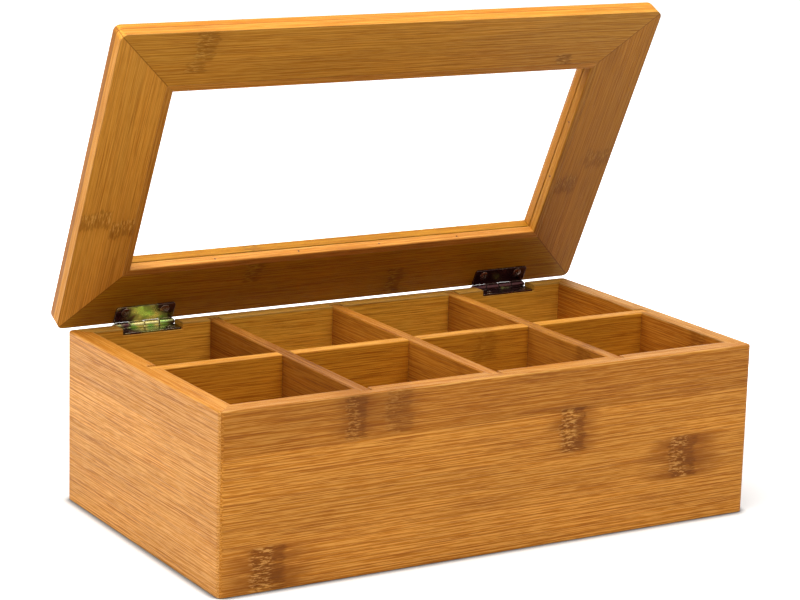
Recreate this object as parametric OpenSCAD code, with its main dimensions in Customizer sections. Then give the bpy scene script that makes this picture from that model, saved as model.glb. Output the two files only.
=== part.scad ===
// Hinged bamboo box with a glazed lid and eight compartments.
// Origin: centre of the underside of the box. X along the length, Y to the hinge side, Z up.

/* [Box] */
// Outside length of the box
box_l = 320; // [300:1:420]
// Outside depth of the box, from the front to the hinge side
box_d = 180; // [140:1:260]
// Height of the box without its lid
box_h = 94; // [70:1:140]
// Thickness of the four walls
wall_t = 10.5; // [9:0.5:14]
// Radius of the upright outside corners
corner_r = 3; // [2.5:0.5:6]
// Radius of the outer edge along the top of the walls
rim_r = 1.2; // [0.5:0.1:2.4]
// Radius of the outer edge along the bottom of the walls
foot_r = 0.8; // [0.3:0.1:2.4]
// Thickness of the bottom panel
bottom_t = 5; // [3:0.5:8]
// Width of the rebate that holds the bottom panel
bottom_rebate = 5; // [3:0.5:7]

/* [Dividers] */
// Thickness of the dividers
divider_t = 7; // [4:0.5:9]
// How far the dividers are let into the walls
dado_depth = 5; // [2:0.5:6]
// How far the dividers stand below the rim
divider_drop = 0.4; // [0.2:0.1:3]
// Radius of the dividers' upper edges
divider_r = 0.8; // [0.3:0.1:1.5]

/* [Lid] */
// Thickness of the lid frame
lid_t = 12.5; // [10:0.5:18]
// How far the lid overhangs the front and the two ends
overhang = 5; // [0:0.5:10]
// How far the lid reaches past the rear wall
rear_overhang = 1; // [0:0.1:1.5]
// Width of the lid frame around the window
rail_w = 36; // [28:1:50]
// Radius of the lid's upright corners
lid_corner_r = 4; // [4:0.5:8]
// Radius of the lid's upper outer edge
lid_edge_r = 3.5; // [1:0.5:3.5]
// Clearance between the closed lid and the rim
lid_gap = 0.3; // [0.1:0.1:1]
// Angle at which the lid stands open
lid_open = 64; // [0:1:180]

/* [Window] */
// Thickness of the clear pane
pane_t = 1.5; // [1:0.1:3]
// Clearance around the edge of the pane
pane_gap = 0.5; // [0.2:0.1:1]
// Width of the beads that hold the pane
bead_w = 4; // [3:0.5:8]
// Thickness of the beads
bead_t = 5.5; // [4:0.5:6.5]
// Radius of the beads' exposed edge
bead_r = 0.8; // [0.3:0.1:1.5]
// Radius of the brads
brad_r = 0.5; // [0.3:0.1:0.8]
// Length of the brads
brad_l = 12; // [8:1:18]
// Largest distance between two brads
brad_pitch = 65; // [40:5:120]

/* [Hinges] */
// Length of each hinge
hinge_l = 35; // [29:1:44]
// Distance from the end of the box to the middle of each hinge
hinge_inset = 45.5; // [38:0.5:55]
// Clearance at each end of the hinge mortises
mortise_gap = 0.3; // [0.1:0.1:1]
// Radius of the hinge knuckles
knuckle_r = 2; // [1.7:0.1:3]
// Number of knuckles in each hinge
knuckles = 4; // [3:1:6]
// Clearance between neighbouring knuckles
knuckle_gap = 0.8; // [0.2:0.1:1]
// Clearance between a knuckle and the leaf that it does not belong to
leaf_gap = 0.2; // [0.1:0.1:0.5]
// Thickness of the leaves
leaf_t = 1; // [0.6:0.1:1]
// Radius of the free corners of the leaves
leaf_corner_r = 1.5; // [0.5:0.1:3]
// Distance from the edge of a leaf to the inner face of the wall
leaf_setback = 0.5; // [0:0.1:1.5]
// Radius of the hinge pin
pin_r = 0.9; // [0.5:0.05:0.9]
// Radial clearance of the pin in the knuckles
pin_fit = 0.05; // [0.02:0.01:0.08]
// Radius of the head at each end of the pin
pin_head_r = 1.4; // [1.2:0.1:1.6]
// Thickness of that head
pin_head_t = 0.6; // [0.3:0.1:1]

/* [Screws] */
// Distance between the two screws of a leaf
screw_pitch = 23; // [16:1:24]
// Width of the leaf between the screw heads and its free edge
screw_margin = 1.1; // [0.8:0.1:1.5]
// Radius of the screw shanks
screw_r = 1; // [0.8:0.1:1.3]
// Radius of the screw heads
screw_head_r = 2.6; // [1.6:0.1:2.8]
// Height of the domes of the screw heads
screw_dome = 0.6; // [0.2:0.1:0.8]
// Length of the screws
screw_l = 8; // [6:0.5:9.5]
// Clearance around the screws and the brads
screw_fit = 0.05; // [0.02:0.01:0.2]
// Length of the cross recess in the heads
recess_l = 2.8; // [1.8:0.1:3]
// Width of that recess
recess_w = 0.5; // [0.3:0.1:0.7]
// Depth of that recess, from the top of the dome
recess_depth = 0.9; // [0.5:0.1:1]

/* [Hidden] */
$fn = 48;

// The sides of a rectangular frame, and the sides of the box that the hinges are on
front = 0;
right = 1;
rear = 2;
left = 3;
left_end = -1;
right_end = 1;

over = 1;   // how far a cutter runs past the face that it cuts

// Box
box_size = [box_l, box_d];
inner_size = box_size - 2 * [wall_t, wall_t];
panel_size = inner_size + 2 * [bottom_rebate, bottom_rebate];
cross_dividers = 3;
compartment_w = (inner_size.x - cross_dividers * divider_t) / (cross_dividers + 1);
divider_h = box_h - divider_drop - bottom_t;
lap_z = bottom_t + divider_h / 2;

// Lid, as it lies closed: it overhangs on all four sides, least at the rear
lid_size = box_size + [2 * overhang, overhang + rear_overhang];
lid_mid_y = (rear_overhang - overhang) / 2;
lid_z = box_h + lid_gap;
window_size = lid_size - 2 * [rail_w, rail_w];
rebate_size = window_size + 2 * [bead_w, bead_w];
pane_size = rebate_size - 2 * [pane_gap, pane_gap];
rebate_t = bead_t + pane_t;

// Hinges: the knuckles lie just outside the rear wall, the leaves against wall and lid
hinge_y = box_d / 2 + knuckle_r;
hinge_z = lid_z - knuckle_r;
mortise_z = hinge_z - knuckle_r;
leaf_w = wall_t - leaf_setback + knuckle_r;
leaf_start = sqrt(knuckle_r * knuckle_r - (knuckle_r - leaf_t) * (knuckle_r - leaf_t)) + leaf_gap;
hinge_x = box_l / 2 - hinge_inset;
knuckle_pitch = hinge_l / knuckles;
bore_r = pin_r + pin_fit;
screw_line = leaf_w - screw_head_r - screw_margin;
screw_head_t = screw_head_r - screw_r;
dome_r = (screw_head_r * screw_head_r + screw_dome * screw_dome) / (2 * screw_dome);

bamboo = [0.72, 0.47, 0.22];
bamboo_pale = [0.86, 0.64, 0.40];
bronze = [0.33, 0.25, 0.14];
steel = [0.62, 0.60, 0.55];
clear = [0.85, 0.93, 0.95, 0.35];

// ---- shared shapes ----

// What a corner of radius r loses: the corner is at the origin, the wood below and left of it
module corner_loss(r) {
    difference() {
        translate([-r, -r]) square(r + over);
        translate([-r, -r]) circle(r);
    }
}

// A centred rectangle with round corners
module round_plan(size, r) {
    difference() {
        square(size, center = true);
        for (x = [0, 1], y = [0, 1])
            mirror([x, 0]) mirror([0, y]) translate(size / 2) corner_loss(r);
    }
}

// Takes the upper outer edge off a block with that plan, whose top is at z = 0
module edge_cutter(size, plan_r, r) {
    for (turn = [0 : 3]) {
        across = turn % 2 == 0 ? size.x / 2 : size.y / 2;
        along = (turn % 2 == 0 ? size.y : size.x) - 2 * plan_r;
        rotate(90 * turn) {
            translate([across, 0, 0])
                rotate([90, 0, 0])
                    linear_extrude(along, center = true) corner_loss(r);
            translate([across - plan_r, along / 2, 0])
                rotate_extrude(angle = 90) translate([plan_r, 0]) corner_loss(r);
        }
    }
}

// The plan of one side of a centred frame of width w, mitred at both ends
module mitre_plan(size, w, side) {
    outer = [for (c = [[-1, -1], [1, -1], [1, 1], [-1, 1]]) [c.x * size.x, c.y * size.y] / 2];
    inner = [for (c = [[-1, -1], [1, -1], [1, 1], [-1, 1]])
        [c.x * (size.x / 2 - w), c.y * (size.y / 2 - w)]];
    next = (side + 1) % 4;
    polygon([outer[side], outer[next], inner[next], inner[side]]);
}

// Puts children, made along Y with their face at x = 0, on one side of a centred rectangle
module on_side(size, side) {
    across = side % 2 == 1 ? size.x / 2 : size.y / 2;
    rotate(90 * (side - 1)) translate([across, 0, 0]) children();
}

// ---- box ----

function divider_x(i) =
    -inner_size.x / 2 + (i + 1) * compartment_w + (i + 0.5) * divider_t;

// The space of a divider from one dado to the opposite one
module dado_space(length) {
    translate([0, 0, box_h / 2 + bottom_t])
        cube([length + 2 * dado_depth, divider_t, box_h], center = true);
}

// All four walls in one, before they are cut at the mitres
module wall_ring() {
    difference() {
        linear_extrude(box_h)
            difference() {
                round_plan(box_size, corner_r);
                square(inner_size, center = true);
            }
        translate([0, 0, -over])
            linear_extrude(bottom_t + over) square(panel_size, center = true);
        dado_space(inner_size.x);
        for (i = [0 : cross_dividers - 1])
            translate([divider_x(i), 0, 0]) rotate(90) dado_space(inner_size.y);
        translate([0, 0, box_h]) edge_cutter(box_size, corner_r, rim_r);
        mirror([0, 0, 1]) edge_cutter(box_size, corner_r, foot_r);
    }
}

module wall(side) {
    color(bamboo)
        intersection() {
            wall_ring();
            translate([0, 0, -over])
                linear_extrude(box_h + 2 * over) mitre_plan(box_size, wall_t, side);
        }
}

// The wall that carries the hinges, with a mortise right through it for each of them
module hinge_wall() {
    color(bamboo)
        difference() {
            wall(rear);
            for (end = [left_end, right_end]) {
                translate([end * hinge_x, box_d / 2, mortise_z + box_h / 2])
                    cube([hinge_l + 2 * mortise_gap, 2 * wall_t + over, box_h], center = true);
                at_hinge(end) screw_cutter();
            }
        }
}

module bottom_panel() {
    color(bamboo_pale) linear_extrude(bottom_t) square(panel_size, center = true);
}

// A divider between two dados, with its upper edges eased
module divider_board(length) {
    translate([0, 0, bottom_t])
        rotate([90, 0, 90])
            linear_extrude(length + 2 * dado_depth, center = true)
                difference() {
                    translate([-divider_t / 2, 0]) square([divider_t, divider_h]);
                    for (flip = [0, 1])
                        mirror([flip, 0]) translate([divider_t / 2, divider_h]) corner_loss(divider_r);
                }
}

// The long divider is slotted from above, the cross dividers from below
module long_divider() {
    color(bamboo)
        difference() {
            divider_board(inner_size.x);
            for (i = [0 : cross_dividers - 1])
                translate([divider_x(i), 0, lap_z + box_h / 2])
                    cube([divider_t, divider_t + 2 * over, box_h], center = true);
        }
}

module cross_divider(i) {
    color(bamboo)
        difference() {
            translate([divider_x(i), 0, 0]) rotate(90) divider_board(inner_size.y);
            translate([divider_x(i), 0, lap_z - box_h / 2])
                cube([divider_t + 2 * over, divider_t, box_h], center = true);
        }
}

// ---- lid ----

// Turns the closed lid about the hinge pins to where it stands open
module opened() {
    translate([0, hinge_y, hinge_z])
        rotate([-lid_open, 0, 0])
            translate([0, -hinge_y, -hinge_z])
                children();
}

// Moves what is made centred, from z = 0 up, to the closed lid
module in_lid() {
    translate([0, lid_mid_y, lid_z]) children();
}

// All four rails in one, rebated from below for the pane and its beads
module rail_ring() {
    difference() {
        linear_extrude(lid_t)
            difference() {
                round_plan(lid_size, lid_corner_r);
                square(window_size, center = true);
            }
        translate([0, 0, -over])
            linear_extrude(rebate_t + over) square(rebate_size, center = true);
        translate([0, 0, lid_t]) edge_cutter(lid_size, lid_corner_r, lid_edge_r);
        for (side = [front : left]) brad_holes(side);
    }
}

module closed_rail(side) {
    in_lid()
        intersection() {
            rail_ring();
            translate([0, 0, -over])
                linear_extrude(lid_t + 2 * over) mitre_plan(lid_size, rail_w, side);
        }
}

module rail(side) {
    color(bamboo)
        opened()
            difference() {
                closed_rail(side);
                if (side == rear)
                    for (end = [left_end, right_end]) at_hinge(end) mirror([0, 0, 1]) screw_cutter();
            }
}

module window_pane() {
    color(clear)
        opened() in_lid()
            translate([0, 0, bead_t])
                linear_extrude(pane_t) square(pane_size, center = true);
}

module bead(side) {
    color(bamboo_pale)
        opened() in_lid()
            difference() {
                linear_extrude(bead_t) mitre_plan(rebate_size, bead_w, side);
                on_side(window_size, side)
                    rotate([90, 0, 0])
                        linear_extrude(box_l, center = true) rotate(180) corner_loss(bead_r);
                brad_holes(side);
            }
}

// Places children at each brad of one side, with z = 0 at the bead's exposed face
module at_brads(side) {
    run = side % 2 == 1 ? window_size.y : window_size.x;
    count = ceil(run / brad_pitch);
    on_side(window_size, side)
        for (i = [1 : count])
            translate([0, run * (i / (count + 1) - 0.5), bead_t / 2])
                rotate([0, 90, 0]) children();
}

// The holes run through the bead on one side and into its rail
module brad_holes(side) {
    at_brads(side)
        translate([0, 0, -over])
            cylinder(h = over + brad_l + screw_fit, r = brad_r + screw_fit);
}

module bead_brads() {
    color(steel)
        opened() in_lid()
            for (side = [front : left])
                at_brads(side) cylinder(h = brad_l, r = brad_r);
}

// ---- hinges ----

// Puts what is made about the hinge pin, which runs along X, at one of the two hinges
module at_hinge(end) {
    translate([end * hinge_x, hinge_y, hinge_z]) children();
}

module along_pin(length, r) {
    rotate([0, 90, 0]) cylinder(h = length, r = r, center = true);
}

module leaf_plan() {
    difference() {
        translate([-hinge_l / 2, -leaf_w]) square([hinge_l, leaf_w - leaf_start]);
        for (tip = [0, 1])
            mirror([tip, 0]) mirror([0, 1]) translate([hinge_l / 2, leaf_w]) corner_loss(leaf_corner_r);
    }
}

// The lower leaf: a plate below the pin, rolled round it at every second knuckle
module leaf(first_knuckle) {
    own_l = knuckle_pitch - knuckle_gap;
    difference() {
        union() {
            translate([0, 0, -knuckle_r]) linear_extrude(leaf_t) leaf_plan();
            for (i = [first_knuckle : 2 : knuckles - 1])
                translate([(i + 0.5) * knuckle_pitch - hinge_l / 2, 0, 0]) {
                    along_pin(own_l, knuckle_r);
                    translate([-own_l / 2, -leaf_start - over, -knuckle_r])
                        cube([own_l, leaf_start + over, leaf_t]);
                }
        }
        along_pin(hinge_l + 2 * over, bore_r);
        screw_cutter();
    }
}

module box_leaf(end) {
    color(bronze) at_hinge(end) leaf(0);
}

module lid_leaf(end) {
    color(bronze) opened() at_hinge(end) mirror([0, 0, 1]) leaf(1);
}

module hinge_pin(end) {
    color(bronze)
        at_hinge(end) {
            along_pin(hinge_l, pin_r);
            for (tip = [-1, 1])
                translate([tip * (hinge_l + pin_head_t) / 2, 0, 0]) along_pin(pin_head_t, pin_head_r);
        }
}

// Places children at the two screws of the lower leaf, with z = 0 at its upper face
module at_screws() {
    for (tip = [-1, 1])
        translate([tip * screw_pitch / 2, -screw_line, leaf_t - knuckle_r]) children();
}

module screw_cutter() {
    at_screws() {
        translate([0, 0, -screw_l - screw_fit]) cylinder(h = screw_l + over, r = screw_r + screw_fit);
        translate([0, 0, -screw_head_t])
            cylinder(h = screw_head_t, r1 = screw_r + screw_fit, r2 = screw_head_r + screw_fit);
        cylinder(h = over, r = screw_head_r + screw_fit);
    }
}

module screws() {
    at_screws()
        difference() {
            union() {
                translate([0, 0, -screw_l]) cylinder(h = screw_l - screw_head_t, r = screw_r);
                translate([0, 0, -screw_head_t])
                    cylinder(h = screw_head_t, r1 = screw_r, r2 = screw_head_r);
                intersection() {
                    translate([0, 0, screw_dome - dome_r]) sphere(dome_r);
                    cylinder(h = over, r = screw_head_r);
                }
            }
            for (turn = [45, 135])
                rotate(turn) translate([0, 0, screw_dome - recess_depth + over / 2])
                    cube([recess_l, recess_w, over], center = true);
        }
}

module box_screws(end) {
    color(bronze) at_hinge(end) screws();
}

module lid_screws(end) {
    color(bronze) opened() at_hinge(end) mirror([0, 0, 1]) screws();
}

wall(front);  // front_wall
hinge_wall();  // rear_wall
wall(left);  // left_wall
wall(right);  // right_wall
bottom_panel();
long_divider();
cross_divider(0);  // cross_divider_left
cross_divider(1);  // cross_divider_middle
cross_divider(2);  // cross_divider_right
rail(front);  // lid_front_rail
rail(rear);  // lid_rear_rail
rail(left);  // lid_left_rail
rail(right);  // lid_right_rail
window_pane();
bead(front);  // bead_front
bead(rear);  // bead_rear
bead(left);  // bead_left
bead(right);  // bead_right
bead_brads();
box_leaf(left_end);  // left_hinge_box_leaf
lid_leaf(left_end);  // left_hinge_lid_leaf
hinge_pin(left_end);  // left_hinge_pin
box_screws(left_end);  // left_hinge_box_screws
lid_screws(left_end);  // left_hinge_lid_screws
box_leaf(right_end);  // right_hinge_box_leaf
lid_leaf(right_end);  // right_hinge_lid_leaf
hinge_pin(right_end);  // right_hinge_pin
box_screws(right_end);  // right_hinge_box_screws
lid_screws(right_end);  // right_hinge_lid_screws
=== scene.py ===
import math

import bpy
from mathutils import Matrix, Vector

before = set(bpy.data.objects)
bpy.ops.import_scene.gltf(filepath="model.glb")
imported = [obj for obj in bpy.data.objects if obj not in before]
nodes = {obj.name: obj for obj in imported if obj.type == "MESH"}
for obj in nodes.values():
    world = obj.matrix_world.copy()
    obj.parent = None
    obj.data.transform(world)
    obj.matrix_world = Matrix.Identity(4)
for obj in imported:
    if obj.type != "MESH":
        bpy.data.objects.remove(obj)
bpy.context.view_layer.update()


# The camera, angles in radians
cameraLook = {
    "location": (-0.69721, -1.14048, 0.42391),
    "heading": 0.54377,     # from +Y towards +X
    "dip": 0.22765,         # below the horizon
    "roll": 0.02869,
    "lens": 115.676,
    "sensor": 36.0,
    "clip": (0.05, 50.0),
}


def makeCamera(look):
    heading, dip, roll = look["heading"], look["dip"], look["roll"]
    ahead = Vector((math.sin(heading) * math.cos(dip), math.cos(heading) * math.cos(dip), -math.sin(dip)))
    level = Vector((math.cos(heading), -math.sin(heading), 0.0))
    over = level.cross(ahead)
    right = level * math.cos(roll) + over * math.sin(roll)
    up = over * math.cos(roll) - level * math.sin(roll)
    data = bpy.data.cameras.new("camera")
    data.sensor_width = look["sensor"]
    data.sensor_fit = "HORIZONTAL"
    data.lens = look["lens"]
    data.clip_start, data.clip_end = look["clip"]
    camera = bpy.data.objects.new("camera", data)
    turn = Matrix((right, up, -ahead)).transposed().to_4x4()
    camera.matrix_world = Matrix.Translation(look["location"]) @ turn
    bpy.context.scene.collection.objects.link(camera)
    bpy.context.scene.camera = camera


makeCamera(cameraLook)
print("camera placed")


# Short ways to add nodes. A value may be a plain number, a tuple or another node's output.
def link(tree, socket, value):
    if isinstance(value, bpy.types.NodeSocket):
        tree.links.new(value, socket)
    else:
        socket.default_value = value


def addNode(tree, kind, settings=None, inputs=None):
    made = tree.nodes.new(kind)
    for name, value in (settings or {}).items():
        setattr(made, name, value)
    for name, value in (inputs or {}).items():
        link(tree, made.inputs[name], value)
    return made


def calc(tree, operation, *values, clamp=False):
    inputs = dict(enumerate(values))
    return addNode(tree, "ShaderNodeMath", {"operation": operation, "use_clamp": clamp}, inputs).outputs[0]


def vectorCalc(tree, operation, *values):
    made = addNode(tree, "ShaderNodeVectorMath", {"operation": operation}, dict(enumerate(values)))
    return made.outputs["Value" if operation in ("LENGTH", "DOT_PRODUCT") else "Vector"]


def split(tree, place):
    return addNode(tree, "ShaderNodeSeparateXYZ", None, {0: place}).outputs


def join(tree, x, y, z):
    return addNode(tree, "ShaderNodeCombineXYZ", None, {0: x, 1: y, 2: z}).outputs[0]


def objectPlace(tree):
    return addNode(tree, "ShaderNodeTexCoord").outputs["Object"]


# A soft step between low and high
def ramp(tree, value, low, high, toLow=0.0, toHigh=1.0):
    inputs = {"Value": value, "From Min": low, "From Max": high, "To Min": toLow, "To Max": toHigh}
    return addNode(tree, "ShaderNodeMapRange", {"interpolation_type": "SMOOTHSTEP"}, inputs).outputs[0]


# The Mix node has sockets for every kind of value: 4 and 5 take vectors, 6 and 7 take colours
def mixVector(tree, factor, a, b):
    return addNode(tree, "ShaderNodeMix", {"data_type": "VECTOR"}, {0: factor, 4: a, 5: b}).outputs[1]


def mixColor(tree, factor, a, b, blend="MIX"):
    settings = {"data_type": "RGBA", "blend_type": blend, "clamp_factor": True}
    return addNode(tree, "ShaderNodeMix", settings, {0: factor, 6: a, 7: b}).outputs[2]


def multiplyColor(tree, a, b):
    return mixColor(tree, 1.0, a, b, "MULTIPLY")


# Noise, given by how fast it changes along and across, its detail, its roughness and its twist
def noise(tree, place, along, across, detail, roughness, twist=0.0):
    stretched = vectorCalc(tree, "MULTIPLY", place, (along, across, across))
    inputs = {"Vector": stretched, "Scale": 1.0, "Detail": detail, "Roughness": roughness, "Distortion": twist}
    return addNode(tree, "ShaderNodeTexNoise", None, inputs).outputs["Fac"]


def newMaterial(name):
    material = bpy.data.materials.new(name)
    material.use_nodes = True
    return material, material.node_tree.nodes["Principled BSDF"]


# The floor and the world around the box
stageLook = {
    "floorColor": (0.55, 0.55, 0.55, 1.0),      # what the floor throws back at the box
    "floorSeen": (0.80, 0.80, 0.80, 1.0),       # what the camera sees of it
    "floorLift": 0.02,
    "floorFade": (0.24, 0.42),                  # from here outward the floor turns plain white
    "floorRoughness": 0.9,
    "floorSize": 12.0,
    "contactReach": 0.006,                      # how far the shade at the foot of the box reaches
    "contactShade": 0.25,
    "worldLight": 0.09,
}
white = (1.0, 1.0, 1.0, 1.0)


# 1 where the camera, a reflection or the pane shows the background, 0 where it only lights the box
def seenDirectly(tree):
    path = addNode(tree, "ShaderNodeLightPath")
    seen = calc(tree, "ADD", path.outputs["Is Camera Ray"], path.outputs["Is Glossy Ray"], clamp=True)
    return calc(tree, "ADD", seen, path.outputs["Is Transmission Ray"], clamp=True)


def makeWorld(look):
    world = bpy.data.worlds.new("studio")
    world.use_nodes = True
    tree = world.node_tree
    tree.nodes.clear()
    lift = calc(tree, "MULTIPLY_ADD", seenDirectly(tree), 1.0 - look["worldLight"], look["worldLight"])
    light = addNode(tree, "ShaderNodeBackground", None, {"Color": white, "Strength": lift})
    out = addNode(tree, "ShaderNodeOutputWorld")
    tree.links.new(light.outputs[0], out.inputs[0])
    bpy.context.scene.world = world


def makeFloor(look):
    half = look["floorSize"] / 2
    mesh = bpy.data.meshes.new("floor")
    corners = [(-half, -half, 0), (half, -half, 0), (half, half, 0), (-half, half, 0)]
    mesh.from_pydata(corners, [], [(0, 1, 2, 3)])
    floor = bpy.data.objects.new("floor", mesh)
    bpy.context.scene.collection.objects.link(floor)
    material, surface = newMaterial("paleFloor")
    tree = material.node_tree
    near = addNode(tree, "ShaderNodeAmbientOcclusion", {"samples": 16}, {"Distance": look["contactReach"]})
    contact = ramp(tree, near.outputs["AO"], 0.5, 1.0, look["contactShade"], 1.0)
    floorSeen = mixColor(tree, contact, (0.0, 0.0, 0.0, 1.0), look["floorSeen"])
    link(tree, surface.inputs["Base Color"], mixColor(tree, seenDirectly(tree), look["floorColor"], floorSeen))
    surface.inputs["Roughness"].default_value = look["floorRoughness"]
    surface.inputs["Specular IOR Level"].default_value = 0.0
    surface.inputs["Emission Color"].default_value = white
    away = vectorCalc(tree, "LENGTH", objectPlace(tree))
    fade = ramp(tree, away, *look["floorFade"], look["floorLift"], 1.0)
    lift = calc(tree, "MULTIPLY", calc(tree, "MULTIPLY", seenDirectly(tree), fade), contact)
    link(tree, surface.inputs["Emission Strength"], lift)
    mesh.materials.append(material)


# Soft lamps, all aimed at the middle of the box
lampAim = (0.0, 0.0, 0.1)
lampLook = {
    "overhead": {"at": (0.0, 0.0, 1.9), "size": (1.6, 1.4), "watts": 36.0, "color": (1.0, 0.99, 0.97)},
    "overLeft": {"at": (-1.2, 0.1, 1.5), "size": (1.4, 1.4), "watts": 24.0, "color": (1.0, 0.99, 0.97)},
    "overFront": {"at": (0.0, -0.9, 1.8), "size": (1.6, 1.2), "watts": 26.0, "color": (1.0, 0.99, 0.97)},
    "backLeft": {"at": (-1.3, 1.2, 1.1), "size": (1.2, 1.2), "watts": 9.0, "color": (1.0, 0.99, 0.98)},
}


def makeLamp(name, look):
    data = bpy.data.lights.new(name, "AREA")
    data.shape = "RECTANGLE"
    data.size, data.size_y = look["size"]
    data.energy = look["watts"]
    data.color = look["color"]
    lamp = bpy.data.objects.new(name, data)
    lamp.location = look["at"]
    lamp.rotation_mode = "QUATERNION"
    lamp.rotation_quaternion = (Vector(lampAim) - Vector(look["at"])).to_track_quat("-Z", "Y")
    lamp.visible_camera = False
    bpy.context.scene.collection.objects.link(lamp)


bpy.context.scene.view_settings.view_transform = "Standard"
makeWorld(stageLook)
makeFloor(stageLook)
for lampName, lampValues in lampLook.items():
    makeLamp(lampName, lampValues)
print("studio lit")


# Effects that several materials share, each a node group
def startGroup(name, inputs, outputs):
    tree = bpy.data.node_groups.new(name, "ShaderNodeTree")
    for title, kind, value in inputs:
        socket = tree.interface.new_socket(title, in_out="INPUT", socket_type=kind)
        if value is not None:
            socket.default_value = value
    for title, kind in outputs:
        tree.interface.new_socket(title, in_out="OUTPUT", socket_type=kind)
    return tree, tree.nodes.new("NodeGroupInput").outputs, tree.nodes.new("NodeGroupOutput").inputs


def useGroup(tree, group, inputs):
    return addNode(tree, "ShaderNodeGroup", {"node_tree": group}, inputs).outputs


numberSocket, vectorSocket = "NodeSocketFloat", "NodeSocketVector"

# Grain coordinates are in millimetres: X along the fibres, Y across the strips, Z through the board
stripLook = {
    "shift": (900.0, 90.0, 90.0),       # how far a strip's fibres may lie from its neighbour's
    "seamWidth": (0.05, 0.4),
}


# Each strip is shifted by its own amount, so the fibres break at the glue lines
def makeStripGroup(look):
    tree, given, out = startGroup(
        "bambooStrips",
        [("Grain", vectorSocket, None), ("Strip Width", numberSocket, 22.0), ("Layer", numberSocket, 40.0),
         ("Seed", numberSocket, 0.0)],
        [("Fibres", vectorSocket), ("Tone", numberSocket), ("Seam", numberSocket)])
    parts = split(tree, given["Grain"])
    across = calc(tree, "DIVIDE", parts[1], given["Strip Width"])
    strip = calc(tree, "FLOOR", across)
    layer = calc(tree, "FLOOR", calc(tree, "DIVIDE", parts[2], given["Layer"]))
    key = join(tree, strip, layer, given["Seed"])
    chance = addNode(tree, "ShaderNodeTexWhiteNoise", {"noise_dimensions": "3D"}, {"Vector": key}).outputs
    shift = vectorCalc(tree, "MULTIPLY", chance["Color"], look["shift"])
    middle = calc(tree, "ABSOLUTE", calc(tree, "SUBTRACT", calc(tree, "FRACT", across), 0.5))
    toSeam = calc(tree, "MULTIPLY", calc(tree, "SUBTRACT", 0.5, middle), given["Strip Width"])
    link(tree, out["Fibres"], vectorCalc(tree, "ADD", given["Grain"], shift))
    link(tree, out["Tone"], chance["Value"])
    link(tree, out["Seam"], ramp(tree, toSeam, *look["seamWidth"], 1.0, 0.0))
    return tree


# Each noise is given as change along, change across, detail and roughness
fibreLook = {
    "fine": (0.014, 0.86, 2.0, 0.62),
    "beside": 0.42,                     # the fine streaks are what changes over this step
    "grit": (0.09, 1.3, 2.0, 0.60),
    "broad": (0.006, 0.36, 3.0, 0.6),
    "dashes": (0.022, 1.32, 3.0, 0.68),
    "clouds": (0.012, 0.055, 2.0, 0.5),
    "lines": (0.0045, 0.45, 3.0, 0.55),
    "fineShare": 0.56,
    "gritShare": 0.34,
    "broadShare": 0.03,
    "level": 0.315,                     # keeps the streaks around one half
    "streakStep": (0.44, 0.56),
    "poreStep": (0.53, 0.59),
    "cloudStep": (0.3, 0.7),
    "lineStep": (0.0, 0.06),
}


def makeFibreGroup(look):
    tree, given, out = startGroup(
        "bambooFibres",
        [("Fibres", vectorSocket, None), ("Fineness", numberSocket, 1.0)],
        [("Streaks", numberSocket), ("Pores", numberSocket), ("Lines", numberSocket), ("Clouds", numberSocket)])
    sized = vectorCalc(tree, "MULTIPLY", given["Fibres"], join(tree, 1.0, given["Fineness"], given["Fineness"]))
    step = (0.0, look["beside"] / look["fine"][1], 0.0)
    beside = vectorCalc(tree, "ADD", sized, step)
    fine = calc(tree, "SUBTRACT", noise(tree, sized, *look["fine"]), noise(tree, beside, *look["fine"]))
    grit = calc(tree, "MULTIPLY", noise(tree, sized, *look["grit"]), look["gritShare"])
    broad = calc(tree, "MULTIPLY_ADD", noise(tree, sized, *look["broad"]), look["broadShare"], look["level"])
    streaks = calc(tree, "ADD", broad, calc(tree, "MULTIPLY_ADD", fine, look["fineShare"], grit))
    dashes = noise(tree, sized, *look["dashes"])
    clouds = noise(tree, given["Fibres"], *look["clouds"])
    fromLine = calc(tree, "ABSOLUTE", calc(tree, "SUBTRACT", noise(tree, sized, *look["lines"]), 0.5))
    link(tree, out["Streaks"], ramp(tree, streaks, *look["streakStep"]))
    link(tree, out["Pores"], ramp(tree, dashes, *look["poreStep"]))
    link(tree, out["Lines"], ramp(tree, fromLine, *look["lineStep"], 1.0, 0.0))
    link(tree, out["Clouds"], ramp(tree, clouds, *look["cloudStep"]))
    return tree


# A bamboo node is a ragged column across one strip: pale strokes on one side of it, brown on the other,
# and smears beyond both. Distances along are shares of its half length.
knotLook = {
    "bend": (0.02, 0.11, 1.0, 0.5),
    "bendBy": 8.0,                      # millimetres that the whole column wanders
    "rows": (0.05, 1.1, 2.0, 0.7),
    "rowsBy": 10.0,                     # millimetres that single fibres reach past their neighbours
    "strokes": (0.26, 1.35, 2.0, 0.65, 0.15),
    "wisps": (0.028, 0.13, 4.0, 0.62),
    "columnEnd": (0.75, 1.05),
    "stripEnd": (0.9, 1.04),
    "smearSides": (0.85, 1.15),
    "brown": (-0.3, 0.5, 0.5, 1.0),
    "hatched": (0.0, 0.4, 1.0, 0.0),
    "darkStrokes": (0.42, 0.53, 1.0, 0.0),
    "paleStrokes": (0.53, 0.60),
    "brownRows": (0.36, 0.58, 0.25, 0.85),
    "smearEnd": (0.2, 1.0),
    "smearWisps": (0.32, 0.56),
}


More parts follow.
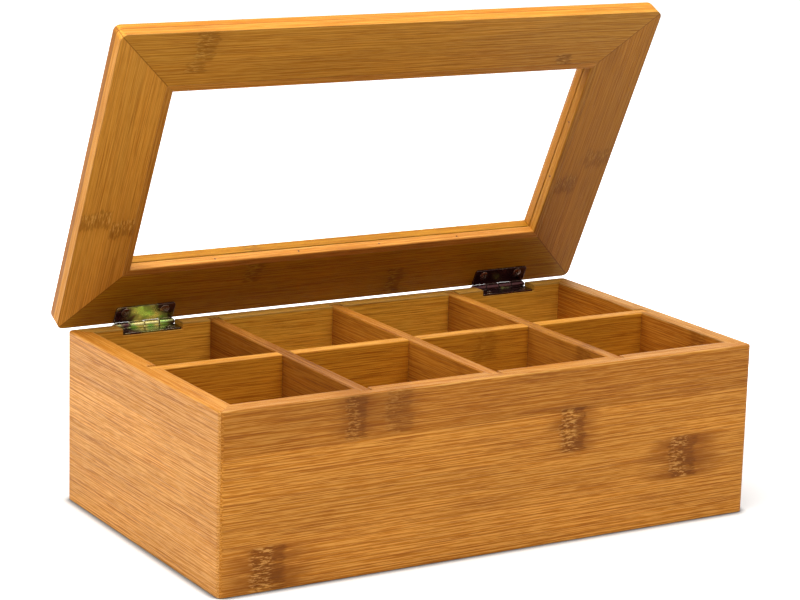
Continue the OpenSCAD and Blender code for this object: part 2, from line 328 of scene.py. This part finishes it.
def makeKnotGroup(look):
    tree, given, out = startGroup(
        "bambooKnot",
        [("Grain", vectorSocket, None), ("Place", vectorSocket, (0.0, 0.0, 0.0)),
         ("Half Length", numberSocket, 4.6), ("Half Width", numberSocket, 11.0), ("Reach", numberSocket, 16.0)],
        [("Dark", numberSocket), ("Pale", numberSocket), ("Smear", numberSocket)])
    grain = given["Grain"]
    parts = split(tree, vectorCalc(tree, "SUBTRACT", grain, given["Place"]))
    bend = calc(tree, "SUBTRACT", noise(tree, grain, *look["bend"]), 0.5)
    rows = noise(tree, grain, *look["rows"])
    lag = calc(tree, "ADD", calc(tree, "MULTIPLY", bend, look["bendBy"]),
               calc(tree, "MULTIPLY", calc(tree, "SUBTRACT", rows, 0.5), look["rowsBy"]))
    along = calc(tree, "ADD", parts[0], lag)
    side = calc(tree, "DIVIDE", along, given["Half Length"])
    column = ramp(tree, calc(tree, "ABSOLUTE", side), *look["columnEnd"], 1.0, 0.0)
    brown = calc(tree, "MULTIPLY", column, ramp(tree, side, *look["brown"]))
    hatched = calc(tree, "MULTIPLY", column, ramp(tree, side, *look["hatched"]))
    strokes = noise(tree, grain, *look["strokes"])
    dark = calc(tree, "MAXIMUM", calc(tree, "MULTIPLY", column, ramp(tree, strokes, *look["darkStrokes"])),
                calc(tree, "MULTIPLY", brown, ramp(tree, rows, *look["brownRows"])))
    pale = calc(tree, "MULTIPLY", hatched, ramp(tree, strokes, *look["paleStrokes"]))
    reach = calc(tree, "DIVIDE", calc(tree, "ABSOLUTE", along), given["Reach"])
    smear = calc(tree, "MULTIPLY", ramp(tree, reach, *look["smearEnd"], 1.0, 0.0),
                 ramp(tree, noise(tree, grain, *look["wisps"]), *look["smearWisps"]))
    across = calc(tree, "DIVIDE", calc(tree, "ABSOLUTE", parts[1]), given["Half Width"])
    inStrip = ramp(tree, across, *look["stripEnd"], 1.0, 0.0)
    link(tree, out["Dark"], calc(tree, "MULTIPLY", dark, inStrip))
    link(tree, out["Pale"], calc(tree, "MULTIPLY", pale, inStrip))
    link(tree, out["Smear"], calc(tree, "MULTIPLY", smear, ramp(tree, across, *look["smearSides"], 1.0, 0.0)))
    return tree


edgeLook = {
    "turned": (0.80, 0.995),            # how far a normal turns before it counts as an edge
    "patches": (45.0, 45.0, 2.0, 0.5),  # the rubbed and painted-highlight edge colour comes and goes along the edge
    "patchStep": (0.25, 0.6, 0.45, 1.0),
}


# Rounds the shading of an edge and says where the edge is
def makeEdgeGroup(look):
    tree, given, out = startGroup(
        "easedEdge",
        [("Radius", numberSocket, 0.001)],
        [("Edge", numberSocket), ("Normal", vectorSocket)])
    eased = addNode(tree, "ShaderNodeBevel", {"samples": 4}, {"Radius": given["Radius"]}).outputs[0]
    flat = addNode(tree, "ShaderNodeNewGeometry").outputs["True Normal"]
    same = vectorCalc(tree, "DOT_PRODUCT", eased, flat)
    patchy = ramp(tree, noise(tree, objectPlace(tree), *look["patches"]), *look["patchStep"])
    link(tree, out["Edge"], calc(tree, "MULTIPLY", ramp(tree, same, *look["turned"], 1.0, 0.0), patchy))
    link(tree, out["Normal"], eased)
    return tree


stripGroup = makeStripGroup(stripLook)
fibreGroup = makeFibreGroup(fibreLook)
knotGroup = makeKnotGroup(knotLook)
edgeGroup = makeEdgeGroup(edgeLook)
print("shared effects made")


# Where the lid turns and how far it stands open, to lay the grain of its boards as it lies when closed
lidHinge = {"y": 0.092, "z": 0.0923, "openDegrees": 64.0}
metresToMillimetres = 1000.0

# What every bamboo board starts from. Colours are reflectances.
bambooLook = {
    "pale": (0.81, 0.360, 0.062, 1.0),
    "dark": (0.56, 0.188, 0.013, 1.0),
    "pore": (0.34, 0.084, 0.003, 1.0),
    "band": (0.18, 0.046, 0.0006, 1.0),     # the brown of a knot, and the lines at mitres and glue
    "smear": (0.28, 0.076, 0.0025, 1.0),
    "stroke": (0.86, 0.44, 0.11, 1.0),      # the pale strokes in a knot
    "wornAndHighlit": (0.80, 0.46, 0.20, 1.0),        # rubbed edges, and a painted highlight where the eased edges catch the light
    "toast": (0.63, 0.55, 0.38, 1.0),   # a toasted strip against a plain one
    "toneAndPaintedLight": (1.0, 1.0, 1.0, 1.0),       # the plain strips of one board: its own tone, and also painted shade on the right wall, the dividers and the lid's rear rail, painted sheen on the left wall
    "cap": (1.0, 1.0, 1.0, 1.0),        # the lid's upper layer
    "rim": (0.92, 1.12, 1.90, 1.0),     # painted light on the upper faces of walls and dividers: a paler, greyer painted sheen, and on the left wall a darker painted shade
    "rimStart": 92.9,
    "rimFade": 0.5,
    "stripWidth": 23.5,
    "stripStart": 0.0,
    "layer": 400.0,
    "layerStart": -200.0,
    "glueLine": 0.5,                    # how dark the line between the lid's two layers is
    "glueWidth": (0.1, 0.45),
    "toastedStrips": (0.0,),
    "toneSpread": 0.10,                 # how much one strip may be darker than the next
    "cloudSpread": 0.05,
    "contrast": 0.90,
    "mitre": None,                      # middle and half size of the frame, along the board and to its side
    "mitreSide": 1,                     # the frame's other way: 1 is across the board, 2 is through it
    "mitreLine": 0.6,
    "mitreWidth": (0.1, 0.6),
    "flushWidth": (1.0, 1.6),
    "pores": 0.68,
    "lines": 0.14,
    "seam": 0.22,
    "edge": 0.0009,
    "wearAndHighlight": 0.32,
    "fineness": 1.15,
    "inLid": False,
    "knots": (),
    "knotSmear": 0.84,
    "knotDark": 0.78,
    "knotPale": 0.60,
    "knotRelief": 1.2,
    "roughness": (0.56, 0.42),          # of the dark and of the pale streaks
    "bump": 0.5,
    "bumpDepth": 0.00006,
    "specular": 0.12,
    "coat": 0.03,
    "coatRoughness": 0.22,
}


# The board's own axes in millimetres
def boardVector(tree, axes, inLid):
    place = objectPlace(tree)
    if inLid:
        angle = math.radians(lidHinge["openDegrees"])
        hinge = Vector((0.0, lidHinge["y"], lidHinge["z"]))
        shift = hinge - Matrix.Rotation(angle, 3, "X") @ hinge
        place = addNode(tree, "ShaderNodeMapping", {"vector_type": "POINT"},
                        {"Vector": place, "Rotation": (angle, 0.0, 0.0), "Location": shift}).outputs[0]
    parts = split(tree, vectorCalc(tree, "MULTIPLY", place, (metresToMillimetres,) * 3))
    return join(tree, *(parts["XYZ".index(axis)] for axis in axes))


# How toasted each strip is, as steps across the board
def toastOf(tree, across, values):
    count = len(values["toastedStrips"])
    fromStart = calc(tree, "SUBTRACT", across, values["stripStart"])
    share = calc(tree, "DIVIDE", fromStart, values["stripWidth"] * count)
    steps = addNode(tree, "ShaderNodeValToRGB", None, {"Fac": share})
    steps.color_ramp.interpolation = "CONSTANT"
    stops = steps.color_ramp.elements
    stops.remove(stops[1])
    for strip, amount in enumerate(values["toastedStrips"]):
        stop = stops.new(strip / count) if strip else stops[0]
        stop.position, stop.color = strip / count, (amount, amount, amount, 1.0)
    return steps.outputs["Color"]


# How far a point is from the mitre at the end of its board, in millimetres
def fromMitre(tree, along, across, mitre):
    toSides = []
    for place, (middle, half) in zip((along, across), mitre):
        fromMiddle = calc(tree, "ABSOLUTE", calc(tree, "SUBTRACT", place, middle))
        toSides.append(calc(tree, "SUBTRACT", half, fromMiddle))
    return calc(tree, "ABSOLUTE", calc(tree, "SUBTRACT", *toSides))


# The mitres are sanded flush, so no edge is rounded, rubbed or painted with the edge highlight there
def flushMitre(tree, apart, width, edge, eased):
    away = ramp(tree, apart, *width)
    plain = addNode(tree, "ShaderNodeNewGeometry").outputs["Normal"]
    return calc(tree, "MULTIPLY", edge, away), mixVector(tree, away, plain, eased)


def makeBamboo(name, look):
    values = {**bambooLook, **look}
    material, surface = newMaterial(name)
    tree = material.node_tree

    def shadeBy(shade, mask, amount, color):
        return mixColor(tree, calc(tree, "MULTIPLY", mask, amount), shade, color)

    grain = boardVector(tree, values["axes"], values["inLid"])
    parts = split(tree, grain)
    offset = vectorCalc(tree, "SUBTRACT", grain, (0.0, values["stripStart"], values["layerStart"]))
    strips = useGroup(tree, stripGroup, {"Grain": offset, "Strip Width": values["stripWidth"],
                                         "Layer": values["layer"], "Seed": values["seed"]})
    fibres = useGroup(tree, fibreGroup, {"Fibres": strips["Fibres"], "Fineness": values["fineness"]})
    contrast = values["contrast"]
    streaks = calc(tree, "MULTIPLY_ADD", fibres["Streaks"], contrast, (1.0 - contrast) / 2)
    shade = mixColor(tree, streaks, values["dark"], values["pale"])
    shade = shadeBy(shade, fibres["Pores"], values["pores"], values["pore"])
    shade = shadeBy(shade, fibres["Lines"], values["lines"], values["pore"])
    height = calc(tree, "SUBTRACT", calc(tree, "MULTIPLY", fibres["Streaks"], 0.5), fibres["Pores"])
    for along, across, halfLength, halfWidth, reach, strength in values["knots"]:
        knot = useGroup(tree, knotGroup, {"Grain": grain, "Place": (along, across, 0.0), "Reach": reach,
                                          "Half Length": halfLength, "Half Width": halfWidth})
        shade = shadeBy(shade, knot["Smear"], values["knotSmear"] * strength, values["smear"])
        shade = shadeBy(shade, knot["Dark"], values["knotDark"] * strength, values["band"])
        shade = shadeBy(shade, knot["Pale"], values["knotPale"] * strength, values["stroke"])
        raised = calc(tree, "SUBTRACT", knot["Pale"], knot["Dark"])
        height = calc(tree, "MULTIPLY_ADD", raised, values["knotRelief"] * strength, height)
    edges = useGroup(tree, edgeGroup, {"Radius": values["edge"]})
    edge, eased = edges["Edge"], edges["Normal"]
    if values["mitre"]:
        apart = fromMitre(tree, parts[0], parts[values["mitreSide"]], values["mitre"])
        edge, eased = flushMitre(tree, apart, values["flushWidth"], edge, eased)
    # edges get the rubbed colour together with a painted highlight
    shade = shadeBy(shade, edge, values["wearAndHighlight"], values["wornAndHighlit"])
    shade = shadeBy(shade, strips["Seam"], values["seam"], values["pore"])
    if values["mitre"] and values["mitreLine"]:
        line = ramp(tree, apart, *values["mitreWidth"], values["mitreLine"], 0.0)
        shade = mixColor(tree, line, shade, values["band"])
    # the plain strips take the board's tone together with its painted shade, and on the left wall its painted
    # sheen
    toasted = mixColor(tree, toastOf(tree, parts[1], values), values["toneAndPaintedLight"], values["toast"])
    shade = multiplyColor(tree, shade, toasted)
    if values["inLid"]:
        glue = values["layerStart"] + values["layer"]
        upper = calc(tree, "GREATER_THAN", parts[2], glue)
        shade = mixColor(tree, upper, shade, multiplyColor(tree, shade, values["cap"]))
        fromGlue = calc(tree, "ABSOLUTE", calc(tree, "SUBTRACT", parts[2], glue))
        line = ramp(tree, fromGlue, *values["glueWidth"], values["glueLine"], 0.0)
        shade = mixColor(tree, line, shade, values["band"])
    else:
        # the upper faces are multiplied by their painted light: sheen on most boards, shade on the left wall
        rim = ramp(tree, parts[1], values["rimStart"], values["rimStart"] + values["rimFade"])
        shade = mixColor(tree, rim, shade, multiplyColor(tree, shade, values["rim"]))
    clouds = ramp(tree, fibres["Clouds"], 0.0, 1.0, 1.0 - values["cloudSpread"], 1.0 + values["cloudSpread"])
    tone = calc(tree, "MULTIPLY", ramp(tree, strips["Tone"], 0.0, 1.0, 1.0 - values["toneSpread"], 1.0), clouds)
    toned = addNode(tree, "ShaderNodeCombineColor", None, {0: tone, 1: tone, 2: tone}).outputs[0]
    link(tree, surface.inputs["Base Color"], multiplyColor(tree, shade, toned))
    link(tree, surface.inputs["Roughness"], ramp(tree, fibres["Streaks"], 0.0, 1.0, *values["roughness"]))
    bump = addNode(tree, "ShaderNodeBump", None, {"Strength": values["bump"], "Distance": values["bumpDepth"],
                                                 "Height": height, "Normal": eased})
    link(tree, surface.inputs["Normal"], bump.outputs[0])
    surface.inputs["Specular IOR Level"].default_value = values["specular"]
    surface.inputs["Coat Weight"].default_value = values["coat"]
    surface.inputs["Coat Roughness"].default_value = values["coatRoughness"]
    return material


# axes: which way the fibres, the strips and the board's thickness run. A knot is where it lies along and
# across, its half length and half width, how far its smears reach, and how strong it is.
wallX = {"axes": "XZY", "mitre": ((0.0, 160.0), (0.0, 90.0)), "mitreSide": 2, "mitreLine": 0.0}
wallY = {"axes": "YZX", "mitre": ((0.0, 90.0), (0.0, 160.0)), "mitreSide": 2, "mitreLine": 0.0}
lidBoard = {"inLid": True, "stripWidth": 18.0, "layer": 6.0, "layerStart": 94.3,
            "contrast": 0.58, "pores": 0.45, "knotSmear": 0.30, "knotPale": 0.85}
railX = {**lidBoard, "axes": "XYZ", "mitre": ((0.0, 165.0), (-2.0, 93.0))}
railY = {**lidBoard, "axes": "YXZ", "mitre": ((-2.0, 93.0), (0.0, 165.0)),
         "contrast": 0.36, "lines": 0.15, "fineness": 1.2}
beadX = {**lidBoard, "axes": "XYZ", "edge": 0.0004, "wearAndHighlight": 0.1}
beadY = {**beadX, "axes": "YXZ"}
# Besides each board's own tone, the plain-strip colour and the upper-face colour carry painted light: shade on
# the right wall, the dividers and the lid's rear rail, sheen on the left wall and the upper faces.
boardLook = {
    "front_wall": {
        **wallX, "seed": 3.0, "toastedStrips": (0.0, 0.0, 0.05, 0.64),
        "knots": ((-84, 82.5, 6.5, 11.5, 20, 0.8), (-60, 83, 8, 11.5, 16, 0.5),
                  (-133, 11.8, 10.5, 11.6, 36, 1.0), (45, 60.5, 8, 12.2, 20, 1.0),
                  (117, 37, 9.5, 11.8, 34, 1.0)),
    },
    "rear_wall": {
        **wallX, "seed": 7.0, "toastedStrips": (0.1, 0.3, 0.0, 0.05), "contrast": 0.52,
        "toneAndPaintedLight": (1.04, 1.22, 0.85, 1.0), "rim": (0.75, 0.85, 1.5, 1.0),
        "knots": ((-62, 58.8, 7.5, 11.6, 15, 0.9), (96, 35.3, 7.5, 11.6, 20, 0.9)),
    },
    "left_wall": {
        **wallY, "seed": 11.0, "toastedStrips": (0.0, 0.0, 0.0, 0.15), "contrast": 0.74, "fineness": 1.25,
        "toneSpread": 0.05, "toneAndPaintedLight": (1.0, 1.12, 1.80, 1.0), "rim": (0.78, 0.76, 0.52, 1.0),
    },
    "right_wall": {
        **wallY, "seed": 13.0, "toastedStrips": (0.1, 0.0, 0.1, 0.0),
        "toneAndPaintedLight": (0.62, 0.52, 0.28, 1.0), "rim": (1.20, 1.75, 5.0, 1.0),
        "knots": ((-56, 85, 7.5, 9, 14, 0.45), (30, 35.3, 7.5, 11.6, 18, 0.9)),
    },
    "bottom_panel": {
        "axes": "XYZ", "seed": 17.0, "rimStart": 400.0, "stripStart": -94.0,
        "toastedStrips": (0.1, 0.3, 0.0, 0.2, 0.0, 0.4, 0.1, 0.0),
        "knots": ((-70, 11.8, 7.5, 11.6, 16, 0.8), (88, -58.8, 7.5, 11.6, 16, 0.8)),
    },
    "long_divider": {
        "axes": "XZY", "seed": 19.0, "toastedStrips": (0.0, 0.2, 0.1, 0.1), "contrast": 0.52,
        "toneAndPaintedLight": (0.80, 0.80, 0.36, 1.0), "rim": (0.95, 1.05, 2.2, 1.0), "knots": ((46, 86, 7.5, 9, 13, 0.3),),
    },
    "cross_divider_left": {
        "axes": "YZX", "seed": 23.0, "toastedStrips": (0.0, 0.2, 0.1, 0.1), "contrast": 0.6,
        "toneAndPaintedLight": (0.42, 0.36, 0.22, 1.0), "rim": (0.84, 0.90, 1.3, 1.0),
    },
    "cross_divider_middle": {
        "axes": "YZX", "seed": 29.0, "contrast": 0.6,
        "toneAndPaintedLight": (0.62, 0.56, 0.34, 1.0), "rim": (0.82, 0.88, 1.4, 1.0),
    },
    "cross_divider_right": {
        "axes": "YZX", "seed": 31.0, "contrast": 0.6,
        "toneAndPaintedLight": (0.60, 0.54, 0.34, 1.0), "rim": (0.84, 0.92, 1.4, 1.0), "knots": ((-57, 86, 7.5, 9, 13, 0.4),),
    },
    "lid_front_rail": {
        **railX, "seed": 37.0, "stripStart": -95.0, "toastedStrips": (0.1, 0.25),
        "toneAndPaintedLight": (0.88, 1.00, 0.80, 1.0), "cap": (1.08, 0.92, 0.75, 1.0),
        "knots": ((-116, -86, 6, 9, 14, 0.55), (-119, -73.5, 6, 3.5, 14, 0.5), (109, -66, 5.5, 3.5, 8, 0.7)),
    },
    "lid_rear_rail": {
        **railX, "seed": 41.0, "stripStart": 55.0, "toneAndPaintedLight": (0.57, 0.61, 0.17, 1.0),
        "knots": ((-53, 63, 5.5, 9, 12, 0.6), (41, 81, 5.5, 9, 12, 0.6)),
    },
    "lid_left_rail": {
        **railY, "seed": 43.0, "stripStart": -165.0, "toastedStrips": (0.0, 0.1),
        "toneAndPaintedLight": (1.06, 1.17, 1.08, 1.0), "cap": (0.60, 0.50, 0.26, 1.0),
        "knots": ((20, -156, 6, 9, 12, 0.55), (27, -138, 6, 9, 12, 0.6)),
    },
    "lid_right_rail": {
        **railY, "seed": 47.0, "stripStart": 129.0, "toastedStrips": (0.1, 0.1),
        "toneAndPaintedLight": (0.78, 0.80, 0.62, 1.0),
        "knots": ((22, 138, 6, 9, 12, 0.55), (4, 156, 6, 9, 12, 0.45)),
    },
    "bead_front": {**beadX, "seed": 53.0, "toneAndPaintedLight": (0.80, 0.82, 0.80, 1.0)},
    "bead_rear": {**beadX, "seed": 59.0, "toneAndPaintedLight": (0.78, 0.80, 0.85, 1.0)},
    "bead_left": {**beadY, "seed": 61.0, "toneAndPaintedLight": (0.80, 0.82, 0.80, 1.0)},
    "bead_right": {**beadY, "seed": 67.0, "toneAndPaintedLight": (0.72, 0.76, 0.60, 1.0)},
}


def paint(name, material):
    mesh = nodes[name].data
    mesh.materials.clear()
    mesh.materials.append(material)


for boardName, boardValues in boardLook.items():
    paint(boardName, makeBamboo(boardName + "_bamboo", boardValues))
print("bamboo painted")


paneLook = {"roughness": 0.0, "ior": 1.49}


def makePane(look):
    material, surface = newMaterial("clearPane")
    surface.inputs["Base Color"].default_value = white
    surface.inputs["Metallic"].default_value = 0.0
    surface.inputs["Transmission Weight"].default_value = 1.0
    surface.inputs["Roughness"].default_value = look["roughness"]
    surface.inputs["IOR"].default_value = look["ior"]
    paint("window_pane", material)
    nodes["window_pane"].visible_shadow = False     # the lamps shine through it


makePane(paneLook)
print("pane painted")


# The leaves' bronzing: plum, with gold and green films near the middle of the hinge
metalLook = {
    "gold": (0.50, 0.42, 0.17, 1.0),
    "green": (0.27, 0.38, 0.11, 1.0),
    "olive": (0.21, 0.20, 0.08, 1.0),
    "plum": (0.075, 0.030, 0.030, 1.0),
    "wornAndHighlit": (0.60, 0.46, 0.34, 1.0),
    "wearAndHighlight": 0.45,
    "edge": 0.00025,
    "patches": (75.0, 75.0, 3.0, 0.55, 0.6),
    "tarnish": (110.0, 110.0, 1.0, 0.5),
    "goldReach": (0.002, 0.013),        # from the middle of the hinge towards its ends
    "endShare": 0.20,
    "filmAndPaintedShade": {"left": 0.62, "right": 0.42},      # how much of each hinge shows the films; the right hinge's smaller share is also a painted dark reflection of the wood it faces
    "oliveStep": (0.42, 0.52),
    "greenStep": (0.44, 0.58),
    "filmStep": (0.50, 0.64),
    "roughness": (0.3, 0.7, 0.32, 0.20),
}

# The screws are brighter than the leaves: rubbed, with a painted highlight ring at the edges of their heads
screwLook = {**metalLook, "plum": (0.17, 0.088, 0.062, 1.0), "wornAndHighlit": (0.86, 0.72, 0.55, 1.0), "wearAndHighlight": 0.75}


def makeMetal(name, look, filmAndPaintedShade, middle):
    material, surface = newMaterial(name)
    tree = material.node_tree
    place = objectPlace(tree)
    cloudy = noise(tree, place, *look["patches"])
    fromMiddle = calc(tree, "ABSOLUTE", calc(tree, "SUBTRACT", split(tree, place)[0], middle))
    outward = ramp(tree, fromMiddle, *look["goldReach"])
    patches = calc(tree, "MULTIPLY_ADD", outward, -look["endShare"], calc(tree, "ADD", cloudy, filmAndPaintedShade - 0.5))
    color = mixColor(tree, ramp(tree, patches, *look["oliveStep"]), look["plum"], look["olive"])
    tarnish = ramp(tree, noise(tree, place, *look["tarnish"]), *look["greenStep"])
    bright = mixColor(tree, tarnish, look["gold"], look["green"])
    color = mixColor(tree, ramp(tree, patches, *look["filmStep"]), color, bright)
    edges = useGroup(tree, edgeGroup, {"Radius": look["edge"]})
    # edges get the rubbed colour together with a painted highlight
    color = mixColor(tree, calc(tree, "MULTIPLY", edges["Edge"], look["wearAndHighlight"]), color, look["wornAndHighlit"])
    link(tree, surface.inputs["Base Color"], color)
    link(tree, surface.inputs["Roughness"], ramp(tree, cloudy, *look["roughness"]))
    link(tree, surface.inputs["Normal"], edges["Normal"])
    surface.inputs["Metallic"].default_value = 1.0
    return material


for side, filmAndPaintedShade in metalLook["filmAndPaintedShade"].items():
    corners = [corner[0] for corner in nodes[side + "_hinge_box_leaf"].bound_box]
    middle = (min(corners) + max(corners)) / 2
    leafMetal = makeMetal(side + "HingeMetal", metalLook, filmAndPaintedShade, middle)
    screwMetal = makeMetal(side + "ScrewMetal", screwLook, filmAndPaintedShade, middle)
    for nodeName in nodes:
        if nodeName.startswith(side + "_hinge_"):
            paint(nodeName, screwMetal if nodeName.endswith("_screws") else leafMetal)
paint("bead_brads", leafMetal)
print("hinges painted")
